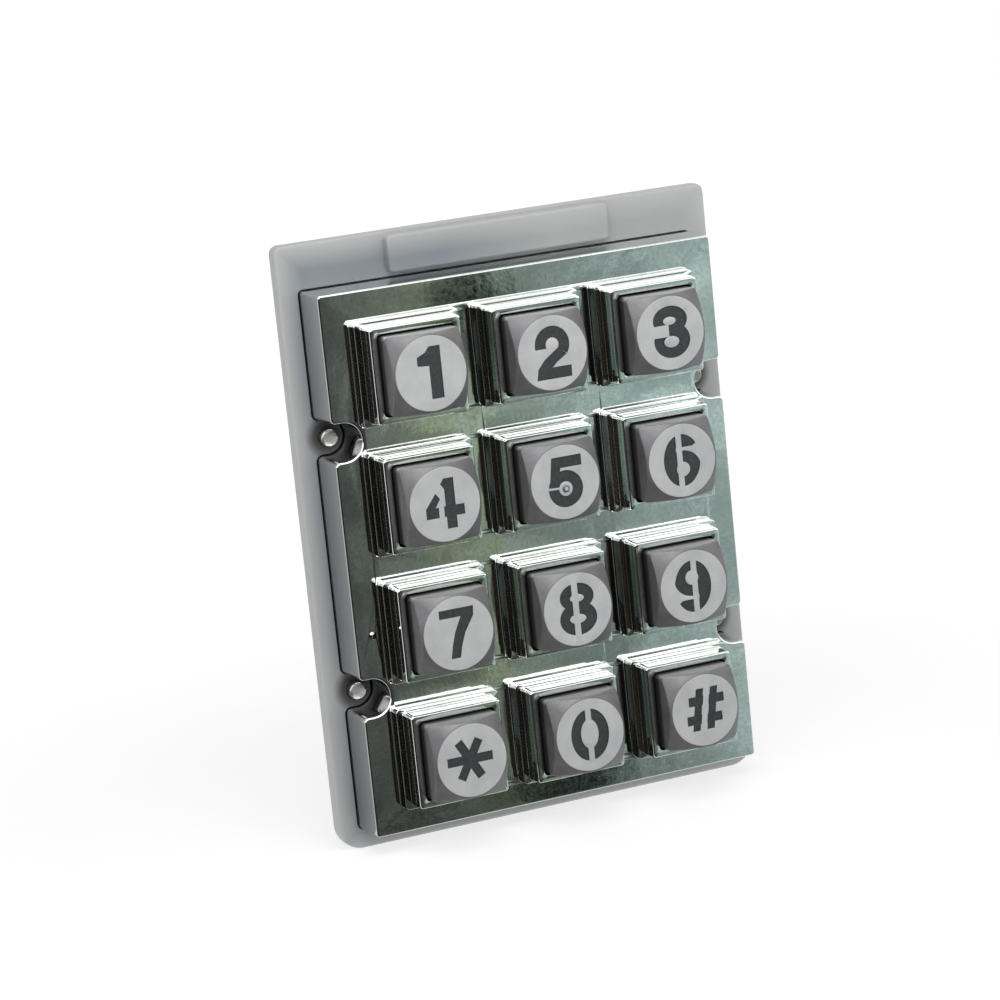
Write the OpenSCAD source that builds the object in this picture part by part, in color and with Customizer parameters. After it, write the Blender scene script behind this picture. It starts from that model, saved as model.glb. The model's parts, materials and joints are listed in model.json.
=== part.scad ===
// Twelve-key die-cast keypad module for an access control panel.
// Upright: +X to the right, +Z up, keys face -Y, studs point along +Y.
// Origin: centre of the four mounting studs, on the rear face of the base plate.

/* [Keys] */
// Distance between neighbouring key centres
key_pitch = 20; // [19.5:0.1:21]
// Width and height of a key's square body
key_size = 12.1; // [11.6:0.1:12.2]
// Diameter of the flat round face of a key
disc_d = 11.54; // [11:0.1:11.8]
// How far the key faces stand in front of the collar rims
key_proud = 4.5; // [3.5:0.1:5]
// How far a key travels when it is pressed
key_travel = 1.5; // [1:0.1:1.8]
// Slope of the cut corners, as depth per unit of radius
corner_slope = 0.84; // [0.7:0.01:0.95]
// Depth of the legend below the key's face
legend_recess = 0.15; // [0.05:0.05:0.4]

/* [Bezel frame] */
// Width of the frame
frame_w = 66.1; // [65.5:0.1:66.5]
// Height of the frame
frame_h = 84.8; // [84:0.1:85.4]
// Depth of the frame in front of the base plate
frame_depth = 7.5; // [7:0.1:9]
// How far the frame's centre is above the centre of the keys
frame_up = 0.3; // [0:0.1:1]
// Thickness of the frame's walls
wall = 2; // [1.6:0.1:2.2]
// Height of the collars' lower step
collar_step_h = 2.2; // [1.5:0.1:3]
// Height of the collars in front of the frame's face
collar_h = 5.5; // [4:0.1:6]
// Clearance between a key and its collar, on each side
key_gap = 0.25; // [0.15:0.05:0.35]

/* [Base plate] */
// Width of the base plate
plate_w = 73; // [72:0.5:76]
// Height of the base plate
plate_h = 95.5; // [94:0.5:98]
// Thickness of the base plate
plate_t = 2.5; // [2.4:0.1:4]
// How far the plate reaches below the centre of the keys
plate_down = 45.5; // [44.5:0.5:46]
// Depth of the recess that the frame's foot stands in
foot_recess = 1; // [0.8:0.1:1.2]

/* [Mounting studs] */
// Distance between the studs, left to right
stud_span_x = 62.5; // [62:0.1:63]
// Distance between the studs, bottom to top
stud_span_z = 40; // [39:0.5:42]
// Diameter of the studs
stud_d = 3; // [2.5:0.1:3]
// Length of the studs behind the base plate
stud_length = 7.5; // [6:0.5:25]

/* [Rear cover] */
// Depth of the rear cover behind the base plate
cover_depth = 9; // [8.5:0.5:14]
// Width of the rear cover
cover_w = 54.8; // [54:0.2:55.4]
// Height of the rear cover
cover_h = 83; // [82.5:0.5:84]

/* [Hidden] */
$fn = 64;
KEYS = ["1", "2", "3", "4", "5", "6", "7", "8", "9", "star", "0", "hash"];

// Planes from back to front; the base plate's rear face is at y = 0
plate_face = -plate_t;
frame_foot = plate_face + foot_recess / 2;
recess_floor = plate_face + foot_recess;
frame_face = plate_face - frame_depth;
frame_back = frame_face + wall;
collar_face = frame_face - collar_h;
key_face = collar_face - key_proud;
flange_t = 1.15;
flange_front = frame_back + 0.05;
flange_back = flange_front + flange_t;
pcb_t = 1.6;
pcb_front = plate_face;
pcb_back = pcb_front + pcb_t;
mat_t = 1;
mat_front = pcb_front - mat_t;
pad_t = 0.1;
cover_wall = 1.5;
cover_corner_r = 3;
cover_seat = 0.5;

// Places
columns = [-key_pitch, 0, key_pitch];
key_rows = [1.5, 0.5, -0.5, -1.5] * key_pitch;
function key_at(k) = [columns[k % 3], key_rows[floor(k / 3)]];
function led_at(k) = key_at(k) - [0, sign(key_at(k)[1]) * led_drop];
between_rows = [-key_pitch, 0, key_pitch];
pcb_screw_spots = [for (x = [-0.5, 0.5] * key_pitch, z = between_rows) [x, z]];
cover_screw_spots = [for (x = [-0.5, 0.5] * key_pitch, z = [-38.2, 38.2]) [x, z]];
stud_spots = [for (x = [-0.5, 0.5] * stud_span_x, z = [-0.5, 0.5] * stud_span_z) [x, z]];

// Key
key_half = key_size / 2;
hole_half = key_half + key_gap;
key_corner_r = 0.6;
cap_wall = 1.35;
cap_top = 1.5;
flange_r = 8.2;
flange_half = 7.5;
pipe_gap = 0.05;
dot_h = 0.35;

// Collar steps: half widths along X and along Z
collar_low = [8.6, 8.1];
collar_high = [7.5, 7.45];
collar_corner_r = 0.7;

// Frame
frame_corner_r = 0.8;
notch_r = 2.9;
notch_wall = 1.3;
dimple_at = [-30.2, -10.3];
dimple_r = 0.8;
dimple_h = 0.3;
boss_r = 2.4;
bore_depth = 4.7;

// Fasteners, M2.5 and the studs' moulded-in shoulders
screw_r = 1.25;
bore_r = 1.28;
screw_hole_r = 1.35;
head_r = 2.25;
head_h = 1.5;
shoulder_r = 2.6;
shoulder_h = 0.9;

// Base plate
plate_up = plate_h / 2 - plate_down;
window = [52.6, 71];
pad_w = 37.6;
pad_z = [43.6, 49.5];
pad_h = 1.8;

// Board, dome mat and parts on the board
pcb_size = [52, 70.4];
mat_size = [51.6, 69.8];
dome_foot_r = 5;
dome_top_r = 3.2;
dome_skin = 0.5;
dome_top_t = 1.2;
dome_top = mat_front - 2.2;
plunger_r = 2.6;
pill_r = 1.8;
pill_t = 0.4;
led_drop = 7.2;
led_size = [1.6, 0.8];
resistor_z = 27;
resistor_pitch = 7.8;
diode_z = 15.8;
diode_pitch = 6.5;
capacitor_at = [-18, -9];
connector_z = -27;
connector_size = [20.9, 5];
pin_pitch = 2.54;
pin_count = 8;
pin_w = 0.64;
chip_at = [0, 9];
chip_size = [17.9, 7.5];

// Extrudes a front-view outline from depth y0 (front) back to depth y1
module slab(y0, y1) {
    translate([0, y1, 0])
        rotate([90, 0, 0])
            linear_extrude(y1 - y0)
                children();
}

// Straight or conical pin along Y; r0 is the radius at the front
module rod(y0, y1, r0, r1 = undef) {
    translate([0, y1, 0])
        rotate([90, 0, 0])
            cylinder(h = y1 - y0, r1 = is_undef(r1) ? r0 : r1, r2 = r0);
}

module at(spot) {
    translate([spot[0], 0, spot[1]])
        children();
}

module rounded_rect(size, r) {
    for (cut = [[r, 0], [0, r]])
        square([size[0] - 2 * cut[0], size[1] - 2 * cut[1]], center = true);
    for (x = [-1, 1], z = [-1, 1])
        translate([x * (size[0] / 2 - r), z * (size[1] / 2 - r)])
            circle(r);
}

module ellipse(rx, rz) {
    steps = 48;
    polygon([for (i = [0:steps - 1]) [rx * cos(360 * i / steps), rz * sin(360 * i / steps)]]);
}

// ---- Key legends: stencil numerals, drawn about the centre of the key's face ----

// Upright strip from x0 to x1 that ties a stencil's inner island to the face
module tie(x0, x1) {
    translate([x0, -5])
        square([x1 - x0, 10]);
}

module glyph_1() {
    polygon([[-0.2, -3.9], [1.75, -3.9], [1.75, 4.05], [0, 4.05], [-0.7, 3.2], [-2.05, 2.6],
             [-2.05, 1.3], [-0.2, 1.15]]);
}

module glyph_2() {
    hook_at = [0.05, 1.25];
    intersection() {
        translate(hook_at)
            difference() {
                circle(2.85);
                circle(1.1);
            }
        polygon([hook_at, [3.3, -1.05], [4, 5], [-4, 5], [-4, 0.75], [-1, 0.75]]);
    }
    polygon([[2.36, -0.4], [0.6, -1.5], [-0.2, -2.25], [2.9, -2.25], [2.9, -3.95], [-2.9, -3.95],
             [-2.6, -2.3], [-1.4, -0.95], [0.93, 0.64]]);
}

module glyph_3() {
    difference() {
        union() {
            translate([0.1, 1.95])
                ellipse(2.9, 2.2);
            translate([0.2, -1.2])
                ellipse(3.05, 2.7);
        }
        translate([0, 1.85])
            ellipse(1.1, 0.65);
        translate([0.1, -1.4])
            ellipse(1.3, 0.9);
        translate([-4, -0.6])
            square([3.8, 1.9]);
    }
}

module glyph_4() {
    polygon([[-3.15, -1.95], [-1.1, -1.95], [-1.1, -0.4], [-1.6, -0.4], [-0.75, 0.9], [-1.4, 1.8],
             [-3.15, -0.4]]);
    polygon([[0.1, -3.8], [1.7, -3.8], [1.7, -1.95], [3.1, -1.95], [3.1, -0.35], [1.7, -0.35],
             [1.7, 3.9], [0.1, 3.9], [-0.45, 3.1], [0.1, 2.3], [0.1, -0.35], [-0.2, -0.35],
             [-0.2, -1.95], [0.1, -1.95]]);
}

module glyph_5() {
    bowl_at = [0, -1.05];
    difference() {
        union() {
            translate(bowl_at)
                circle(2.85);
            polygon([[-2.6, -0.5], [-1.95, 3.95], [2.95, 3.95], [2.95, 2.25], [-0.65, 2.25],
                     [-0.8, 1.3], [0, 0]]);
        }
        translate(bowl_at)
            circle(1.15);
        polygon([[-0.9, -1.05], [-4, -0.95], [-4, -0.55], [-0.9, -0.7]]);
    }
}

module glyph_6() {
    difference() {
        ellipse(3.12, 4.08);
        difference() {
            translate([-0.95, -1])
                square([5, 3.05]);
            translate([0, -1.3])
                ellipse(3.12, 2.8);
        }
        polygon([[1.9, 2], [4, 2], [4, 3.4]]);
        translate([0.1, -1.4])
            circle(1.15);
        tie(-0.85, 0.15);
    }
}

module glyph_7() {
    polygon([[-2.9, 2.55], [-2.9, 3.85], [2.75, 3.85], [2.65, 2.4], [1.1, 0], [0.35, -2],
             [-0.05, -3.8], [-1.55, -3.8], [-1.15, -1.8], [-0.55, 0.2], [0.6, 2.55]]);
}

module glyph_8() {
    difference() {
        union() {
            translate([0, 1.95])
                ellipse(2.85, 2.15);
            translate([0, -1.45])
                ellipse(3.12, 2.6);
        }
        translate([0, 1.75])
            ellipse(1.2, 0.65);
        translate([-0.1, -1.5])
            ellipse(1.4, 0.75);
        tie(-0.8, 0.25);
    }
}

module glyph_9() {
    rotate(180)
        translate([0.1, 0])
            glyph_6();
}

module glyph_star() {
    translate([-0.3, 0.2])
        for (arm = [[0, 7.5], [60, 6.8], [120, 6.8]])
            rotate(arm[0])
                square([arm[1], 1.4], center = true);
}

module glyph_0() {
    difference() {
        ellipse(3.2, 4.1);
        translate([-0.05, 0.15])
            ellipse(1.5, 2.35);
        tie(-0.55, 0.45);
    }
}

// Leaning strip through (x, 0.2) of the hash sign
module lean(x, w, half_h) {
    slope = 0.16;
    polygon([for (end = [[-1, -1], [1, -1], [1, 1], [-1, 1]])
        [x + end[0] * w / 2 + end[1] * slope * half_h, 0.2 + end[1] * half_h]]);
}

module glyph_hash() {
    difference() {
        union() {
            for (x = [-1.2, 1.28])
                lean(x, 1.25, 3.35);
            translate([-2.7, 0.9])
                square([6.1, 1.45]);
            translate([-3.2, -2.1])
                square([6.1, 1.45]);
        }
        lean(0.05, 1, 4);
    }
}

module glyph(name) {
    if (name == "1") glyph_1();
    if (name == "2") glyph_2();
    if (name == "3") glyph_3();
    if (name == "4") glyph_4();
    if (name == "5") glyph_5();
    if (name == "6") glyph_6();
    if (name == "7") glyph_7();
    if (name == "8") glyph_8();
    if (name == "9") glyph_9();
    if (name == "star") glyph_star();
    if (name == "0") glyph_0();
    if (name == "hash") glyph_hash();
}

// ---- Keys ----

// Square key body whose corners are turned down to the round face
module key_body() {
    disc_r = disc_d / 2;
    flare = 3.5;
    intersection() {
        slab(key_face, flange_back)
            rounded_rect([key_size, key_size], key_corner_r);
        union() {
            rod(key_face, key_face + corner_slope * flare, disc_r, disc_r + flare);
            rod(key_face + corner_slope * flare, flange_back, disc_r + flare);
        }
    }
}

module key_flange() {
    intersection() {
        rod(flange_front, flange_back, flange_r);
        slab(flange_front, flange_back)
            square(2 * flange_half, center = true);
    }
}

// Small raised dot on the island of the 5, for finding the keys by touch
module touch_dot() {
    at([0, -1.05])
        rod(key_face - dot_h, key_face + 0.3, 0.25, 0.25 + (dot_h + 0.3) / 1.1);
}

module key_cap(name) {
    hollow = 2 * (key_half - cap_wall);
    color("#b4b5b8")
        union() {
            difference() {
                union() {
                    key_body();
                    key_flange();
                }
                slab(key_face + cap_top, flange_back + 1)
                    rounded_rect([hollow, hollow], key_corner_r);
                slab(key_face - 1, key_face + cap_top + 1)
                    glyph(name);
            }
            if (name == "5")
                touch_dot();
        }
}

module key_legend(name) {
    block = 2 * (key_half - cap_wall - pipe_gap);
    color("#37383b")
        union() {
            slab(key_face + cap_top + pipe_gap, flange_back - 0.1)
                rounded_rect([block, block], key_corner_r);
            slab(key_face + legend_recess, key_face + cap_top + pipe_gap)
                glyph(name);
        }
}

// ---- Bezel frame ----

// Notch round a stud, open to the frame's nearest side
module notch(grow) {
    for (spot = stud_spots)
        translate(spot) {
            circle(notch_r + grow);
            translate([spot[0] > 0 ? 0 : -10, -notch_r - grow])
                square([10, 2 * (notch_r + grow)]);
        }
}

// Outline of the frame's side walls, shrunk all round by inset
module frame_outline(inset) {
    difference() {
        translate([0, frame_up])
            rounded_rect([frame_w - 2 * inset, frame_h - 2 * inset], max(frame_corner_r - inset, 0.2));
        notch(inset);
    }
}

// Outline of the hollow inside the frame's walls, shrunk all round by inset
module frame_cavity(inset) {
    reach = 2 * (wall + inset);
    difference() {
        translate([0, frame_up])
            rounded_rect([frame_w - reach, frame_h - reach], frame_corner_r);
        notch(notch_wall + inset);
    }
}

module collar() {
    slab(frame_face - collar_step_h, frame_face + 0.5)
        rounded_rect(2 * collar_low, collar_corner_r);
    slab(collar_face, frame_face + 0.5)
        rounded_rect(2 * collar_high, collar_corner_r);
}

module bezel_frame() {
    color("#9fb0a8")
        difference() {
            union() {
                difference() {
                    slab(frame_face, frame_foot)
                        frame_outline(0);
                    slab(frame_back, frame_foot + 1)
                        frame_cavity(0);
                }
                for (k = [0:len(KEYS) - 1])
                    at(key_at(k))
                        collar();
                for (spot = concat(pcb_screw_spots, cover_screw_spots))
                    at(spot)
                        rod(frame_back - 0.5, plate_face, boss_r);
                at(dimple_at)
                    rod(frame_face - dimple_h, frame_face + 0.5, dimple_r - 0.2, dimple_r);
            }
            for (k = [0:len(KEYS) - 1])
                at(key_at(k))
                    slab(collar_face - 1, frame_back + 1)
                        rounded_rect([2 * hole_half, 2 * hole_half], key_corner_r);
            for (spot = concat(pcb_screw_spots, cover_screw_spots))
                at(spot)
                    rod(plate_face - bore_depth, plate_face + 1, bore_r);
        }
}

module frame_seal() {
    color("#2b2c2e")
        slab(frame_foot, recess_floor)
            difference() {
                frame_outline(0.1);
                frame_cavity(0);
            }
}

// ---- Base plate and studs ----

// Outline of the rear cover, and of the seat for it in the plate when it is grown
module cover_outline(grow) {
    rounded_rect([cover_w + 2 * grow, cover_h + 2 * grow], cover_corner_r + grow);
}

module base_plate() {
    clearance = 0.25;
    top_r = 1.4;
    low_r = 4;
    color("#b3b7bb", 0.9)
        difference() {
            union() {
                slab(plate_face, 0)
                    translate([0, plate_up]) {
                        intersection() {
                            rounded_rect([plate_w, plate_h], top_r);
                            translate([-plate_w, 0])
                                square([2 * plate_w, plate_h]);
                        }
                        intersection() {
                            rounded_rect([plate_w, plate_h], low_r);
                            translate([-plate_w, -plate_h])
                                square([2 * plate_w, plate_h]);
                        }
                    }
                slab(plate_face - pad_h, plate_face + 0.5)
                    translate([0, (pad_z[0] + pad_z[1]) / 2])
                        rounded_rect([pad_w, pad_z[1] - pad_z[0]], 0.6);
            }
            slab(plate_face - 0.5, recess_floor)
                difference() {
                    frame_outline(-clearance);
                    frame_cavity(clearance);
                }
            slab(plate_face - 1, 1)
                rounded_rect(window, 2);
            slab(-cover_seat, 1)
                cover_outline(0.1);
            for (spot = cover_screw_spots)
                at(spot)
                    rod(plate_face - 1, 1, screw_hole_r);
            for (spot = stud_spots)
                at(spot)
                    stud(0.03);
        }
}

// One stud: a tapered nose that shows in front, a shoulder and a tapered grip held in the plate, and a shank
module stud(gap) {
    end_chamfer = 0.3;
    taper = 0.05;
    front = plate_face - 1.5;
    nose_r = stud_d / 2 - 0.1 + gap;
    grip_r = stud_d / 2 + 0.15 + gap;
    shoulder = -plate_t / 2;
    shank_end = stud_length - end_chamfer;
    rod(front, front + end_chamfer, nose_r - end_chamfer, nose_r);
    rod(front + end_chamfer, shoulder, nose_r, nose_r + taper);
    rod(shoulder - shoulder_h / 2 - gap, shoulder + shoulder_h / 2 + gap, shoulder_r + gap);
    rod(shoulder, gap, grip_r + taper, grip_r);
    rod(0, shank_end, stud_d / 2);
    rod(shank_end, stud_length, stud_d / 2, stud_d / 2 - end_chamfer);
}

module mounting_studs() {
    color("#a7a8aa")
        for (spot = stud_spots)
            at(spot)
                stud(0);
}

// ---- Keymat and board ----

module dome() {
    difference() {
        union() {
            rod(dome_top, mat_front + mat_t / 2, dome_top_r, dome_foot_r + 0.4);
            rod(flange_back - 0.05, dome_top + 0.1, plunger_r);
        }
        rod(dome_top + dome_top_t, mat_front + mat_t / 2, dome_top_r - dome_skin / 2, dome_foot_r);
    }
}

module dome_mat() {
    hole_gap = 0.4;
    color("#d9dcdd")
        union() {
            slab(mat_front, pcb_front)
                difference() {
                    rounded_rect(mat_size, 1.5);
                    for (spot = pcb_screw_spots)
                        translate(spot)
                            circle(boss_r + hole_gap);
                    for (k = [0:len(KEYS) - 1]) {
                        translate(key_at(k))
                            circle(dome_foot_r);
                        translate(led_at(k))
                            square([led_size[0] + 2 * hole_gap, led_size[1] + 2 * hole_gap],
                                   center = true);
                    }
                }
            for (k = [0:len(KEYS) - 1])
                at(key_at(k))
                    dome();
        }
}

module contact_pills() {
    color("#1c1c1e")
        for (k = [0:len(KEYS) - 1])
            at(key_at(k))
                rod(dome_top + dome_top_t, dome_top + dome_top_t + pill_t, pill_r);
}

module circuit_board() {
    color("#1f6b45")
        slab(pcb_front, pcb_back)
            difference() {
                rounded_rect(pcb_size, 1);
                for (spot = pcb_screw_spots)
                    translate(spot)
                        circle(screw_hole_r);
                for (i = [0:pin_count - 1])
                    translate([pin_x(i), connector_z])
                        circle(0.5);
            }
}

module contact_pads() {
    pad_r = 2.6;
    split = 0.5;
    color("#c9a24a")
        for (k = [0:len(KEYS) - 1])
            at(key_at(k))
                slab(pcb_front - pad_t, pcb_front)
                    difference() {
                        circle(pad_r);
                        square([split, 3 * pad_r], center = true);
                    }
}

module backlight_leds() {
    base_h = 0.35;
    lens_h = 0.4;
    color("#f2efe2")
        for (k = [0:len(KEYS) - 1])
            at(led_at(k)) {
                slab(pcb_front - base_h, pcb_front)
                    square(led_size, center = true);
                slab(pcb_front - base_h - lens_h, pcb_front - base_h)
                    square([led_size[0] * 0.6, led_size[1]], center = true);
            }
}

module led_resistors() {
    color("#222326")
        for (i = [0:5])
            at([(i - 2.5) * resistor_pitch, resistor_z])
                slab(pcb_back, pcb_back + 0.55)
                    square([3.2, 1.6], center = true);
}

module matrix_diodes() {
    glass_r = 0.7;
    glass_l = 3.5;
    color("#c4572c")
        for (i = [0:6])
            translate([(i - 3) * diode_pitch - glass_l / 2, pcb_back + glass_r, diode_z])
                rotate([0, 90, 0])
                    cylinder(h = glass_l, r = glass_r);
}

module controller_chip() {
    color("#26272a")
        at(chip_at)
            difference() {
                slab(pcb_back + 0.2, pcb_back + 2.5)
                    square(chip_size, center = true);
                at([-chip_size[0] / 2 + 1.4, -chip_size[1] / 2 + 1.4])
                    rod(pcb_back + 2.4, pcb_back + 3, 0.5);
            }
}

module controller_leads() {
    lead_w = 0.42;
    lead_t = 0.25;
    foot = chip_size[1] / 2 + 1.4;
    side = chip_size[1] / 2;
    mid = pcb_back + 1.3;
    color("#c7c9cc")
        for (i = [0:13], turn = [0, 180])
            translate([chip_at[0] + (i - 6.5) * 1.27 - lead_w / 2, 0, chip_at[1]])
                mirror([0, 0, turn / 180])
                    rotate([90, 0, 90])
                        linear_extrude(lead_w)
                            polygon([[mid, side], [mid, side + 0.6], [pcb_back, side + 0.75],
                                     [pcb_back, foot], [pcb_back + lead_t, foot],
                                     [pcb_back + lead_t, side + 0.95], [mid + lead_t, side + 0.85],
                                     [mid + lead_t, side]]);
}

module smoothing_capacitor() {
    can_r = 2.5;
    color("#3c4a63")
        at(capacitor_at) {
            rod(pcb_back, pcb_back + 5.4, can_r);
            rod(pcb_back + 5.4, pcb_back + 5.8, can_r, can_r - 0.4);
        }
}

function pin_x(i) = (i - (pin_count - 1) / 2) * pin_pitch;

module connector_housing() {
    color("#1e1f22")
        slab(pcb_back, cover_depth + 0.5)
            difference() {
                translate([0, connector_z])
                    rounded_rect(connector_size, 0.4);
                for (i = [0:pin_count - 1])
                    translate([pin_x(i), connector_z])
                        square(pin_w + 0.04, center = true);
            }
}

module connector_pins() {
    reach = 6;
    color("#cfae5a")
        for (i = [0:pin_count - 1])
            at([pin_x(i), connector_z])
                slab(pcb_front, cover_depth + 0.5 + reach)
                    square(pin_w, center = true);
}

// ---- Rear cover and screws ----

module rear_cover() {
    fit_gap = 0.3;
    head_bed = 2;
    column_r = 3.2;
    inner = [cover_w - 2 * cover_wall, cover_h - 2 * cover_wall];
    color("#2d2e31")
        difference() {
            union() {
                difference() {
                    slab(-cover_seat, cover_depth)
                        cover_outline(0);
                    slab(-1, cover_depth - cover_wall)
                        rounded_rect(inner, cover_corner_r - cover_wall);
                }
                slab(-cover_seat, cover_depth - cover_wall / 2)
                    intersection() {
                        cover_outline(0);
                        for (spot = cover_screw_spots)
                            translate(spot)
                                circle(column_r);
                    }
            }
            for (spot = cover_screw_spots)
                at(spot) {
                    rod(-1, cover_depth + 1, screw_hole_r);
                    rod(cover_depth - head_bed, cover_depth + 1, head_r + 0.1);
                }
            slab(-1, cover_depth + 1)
                translate([0, connector_z])
                    square([connector_size[0] + 2 * fit_gap, connector_size[1] + 2 * fit_gap],
                           center = true);
        }
}

// Pan-head screw whose head sits on depth seat and whose shank ends at depth tip
module screw(seat, tip) {
    socket_af = 1.5;
    rod(tip, seat, screw_r);
    difference() {
        union() {
            rod(seat, seat + head_h - 0.4, head_r);
            rod(seat + head_h - 0.4, seat + head_h, head_r, head_r - 0.5);
        }
        slab(seat + 0.5, seat + head_h + 1)
            circle(d = socket_af / cos(30), $fn = 6);
    }
}

module pcb_screws() {
    color("#b9bbbe")
        for (spot = pcb_screw_spots)
            at(spot)
                screw(pcb_back, plate_face - bore_depth + 0.3);
}

module cover_screws() {
    color("#b9bbbe")
        for (spot = cover_screw_spots)
            at(spot)
                screw(cover_depth - 2, plate_face - bore_depth + 0.3);
}

bezel_frame();
for (k = [0:len(KEYS) - 1]) {
    at(key_at(k)) key_cap(KEYS[k]);
    at(key_at(k)) key_legend(KEYS[k]);
}
base_plate();
frame_seal();
mounting_studs();
dome_mat();
contact_pills();
circuit_board();
contact_pads();
backlight_leds();
led_resistors();
matrix_diodes();
controller_chip();
controller_leads();
smoothing_capacitor();
connector_housing();
connector_pins();
pcb_screws();
rear_cover();
cover_screws();
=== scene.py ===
"""Visual model of a die-cast twelve-key keypad module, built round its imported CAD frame.

Lengths are in millimetres until a mesh is made; make_object() turns them into metres. FINE_RELIEF and the
lengths inside the finishes, the studio, the lamp and the floor are in metres.
An outline is a list of (x, z) points seen from the front, and depth y grows towards the back.
"""
import json
import math

import bmesh
import bpy
import numpy as np
from mathutils import Matrix, Vector
from mathutils.geometry import delaunay_2d_cdt


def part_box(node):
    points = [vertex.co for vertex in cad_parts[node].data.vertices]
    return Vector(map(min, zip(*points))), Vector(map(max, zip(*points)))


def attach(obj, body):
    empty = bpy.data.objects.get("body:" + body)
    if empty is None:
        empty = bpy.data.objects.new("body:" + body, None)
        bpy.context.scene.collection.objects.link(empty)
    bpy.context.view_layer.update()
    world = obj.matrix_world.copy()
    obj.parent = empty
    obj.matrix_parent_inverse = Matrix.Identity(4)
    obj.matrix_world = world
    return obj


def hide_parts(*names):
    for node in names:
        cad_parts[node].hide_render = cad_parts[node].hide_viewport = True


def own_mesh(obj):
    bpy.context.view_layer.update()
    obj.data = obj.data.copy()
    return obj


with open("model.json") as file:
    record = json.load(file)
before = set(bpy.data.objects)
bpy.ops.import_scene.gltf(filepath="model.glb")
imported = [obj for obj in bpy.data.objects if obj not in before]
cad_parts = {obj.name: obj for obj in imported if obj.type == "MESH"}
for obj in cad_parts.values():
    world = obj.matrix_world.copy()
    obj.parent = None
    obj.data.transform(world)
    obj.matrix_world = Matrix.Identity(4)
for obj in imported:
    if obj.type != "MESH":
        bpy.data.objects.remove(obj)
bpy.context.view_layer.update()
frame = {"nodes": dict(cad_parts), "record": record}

MM = 0.001
KEYS = ["1", "2", "3", "4", "5", "6", "7", "8", "9", "star", "0", "hash"]


def node_box(node):
    """Lowest and highest corner of a CAD node in millimetres."""
    low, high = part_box(node)
    return low / MM, high / MM


# ---------------------------------------------------------------- driving sizes

BEZEL_LOW, BEZEL_HIGH = node_box("bezel_frame")
PLATE_LOW, PLATE_HIGH = node_box("base_plate")
CAP_LOW, CAP_HIGH = node_box("key_1_cap")
STUD_LOW, STUD_HIGH = node_box("mounting_studs")
COVER_HIGH = node_box("rear_cover")[1]

FRAME_HALF_W = (BEZEL_HIGH.x - BEZEL_LOW.x) / 2
FRAME_HALF_H = (BEZEL_HIGH.z - BEZEL_LOW.z) / 2
FRAME_UP = (BEZEL_HIGH.z + BEZEL_LOW.z) / 2
COLLAR_H = 5.5
CORNER_R = 0.55
STEP_H = 2.2
WALL = 2.0
COLLAR_FACE = BEZEL_LOW.y
FRAME_FACE = COLLAR_FACE + COLLAR_H
FRAME_BACK = FRAME_FACE + WALL
FRAME_FOOT = BEZEL_HIGH.y
PLATE_FACE = -2.5
SEAT_FLOOR = -0.5
RECESS_FLOOR = -1.5
KEY_FACE = CAP_LOW.y
FLANGE_BACK = CAP_HIGH.y
FLANGE_T = 1.15
KEY_PITCH = 20.0
KEY_HALF = 6.05
HOLE_HALF = 6.3
DISC_R = 5.77
CORNER_SLOPE = 0.84
DISC_BLEND = 0.16
CAP_WALL = 1.35
CAP_TOP = 1.5
LEGEND_RECESS = 0.15
STUD_X, STUD_Z = 31.25, 20.0
STUD_R = 1.5
GRIP_R = STUD_R + 0.15
SHOULDER_R = 2.6
SHOULDER_FRONT, SHOULDER_BACK = -1.7, -0.8
NOTCH_R = 2.9
BOSS_R = 2.4
BOSS_Z = 38.2
BORE_R = 1.28
BORE_DEPTH = 4.7
FRAME_GAP = 0.25
FINE_RELIEF = 0.00001


def key_centre(name):
    """Centre (x, z) of a key, from its cap's box."""
    low, high = node_box(f"key_{name}_cap")
    return (low.x + high.x) / 2, (low.z + high.z) / 2


# ---------------------------------------------------------------- outlines

def arc(cx, cz, r, start, end, steps):
    """Points on an arc, from angle start to angle end in degrees, both ends included."""
    turn = [math.radians(start + (end - start) * i / steps) for i in range(steps + 1)]
    return [(cx + r * math.cos(a), cz + r * math.sin(a)) for a in turn]


def circle(cx, cz, r, steps=32):
    return arc(cx, cz, r, 0, 360, steps)[:-1]


def between(p, q, steps):
    """Points from p to q, without either end."""
    return [(p[0] + (q[0] - p[0]) * i / steps, p[1] + (q[1] - p[1]) * i / steps) for i in range(1, steps)]


def rounded_rect(cx, cz, half_w, half_h, r, steps=8, side_steps=1):
    """Closed rounded rectangle; r is one radius, or four from the lower right corner anticlockwise."""
    radii = r if isinstance(r, (list, tuple)) else [r] * 4
    loop = []
    for (sx, sz, start), rc in zip(((1, -1, 270), (1, 1, 0), (-1, 1, 90), (-1, -1, 180)), radii):
        corner = arc(cx + sx * (half_w - rc), cz + sz * (half_h - rc), rc, start, start + 90, steps)
        if loop and side_steps > 1:
            loop += between(loop[-1], corner[0], side_steps)
        loop += corner
    if side_steps > 1:
        loop += between(loop[-1], loop[0], side_steps)
    return loop


def frame_outline(inset, corner_r=CORNER_R, mouth_r=0.8):
    """Outline of the frame with its side notches, moved inwards by inset; all insets have as many points."""
    bottom, top = FRAME_UP - FRAME_HALF_H, FRAME_UP + FRAME_HALF_H
    corner, lip = FRAME_HALF_W - corner_r, FRAME_HALF_W - mouth_r
    half = arc(corner, bottom + corner_r, corner_r - inset, 270, 360, 6)
    for notch_z in (-STUD_Z, STUD_Z):
        reach = NOTCH_R + mouth_r
        half += arc(lip, notch_z - reach, mouth_r - inset, 0, 90, 6)
        half += arc(STUD_X, notch_z, NOTCH_R + inset, 270, 90, 20)
        half += arc(lip, notch_z + reach, mouth_r - inset, 270, 360, 6)
    half += arc(corner, top - corner_r, corner_r - inset, 0, 90, 6)
    return half + [(-x, z) for x, z in reversed(half)]


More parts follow.
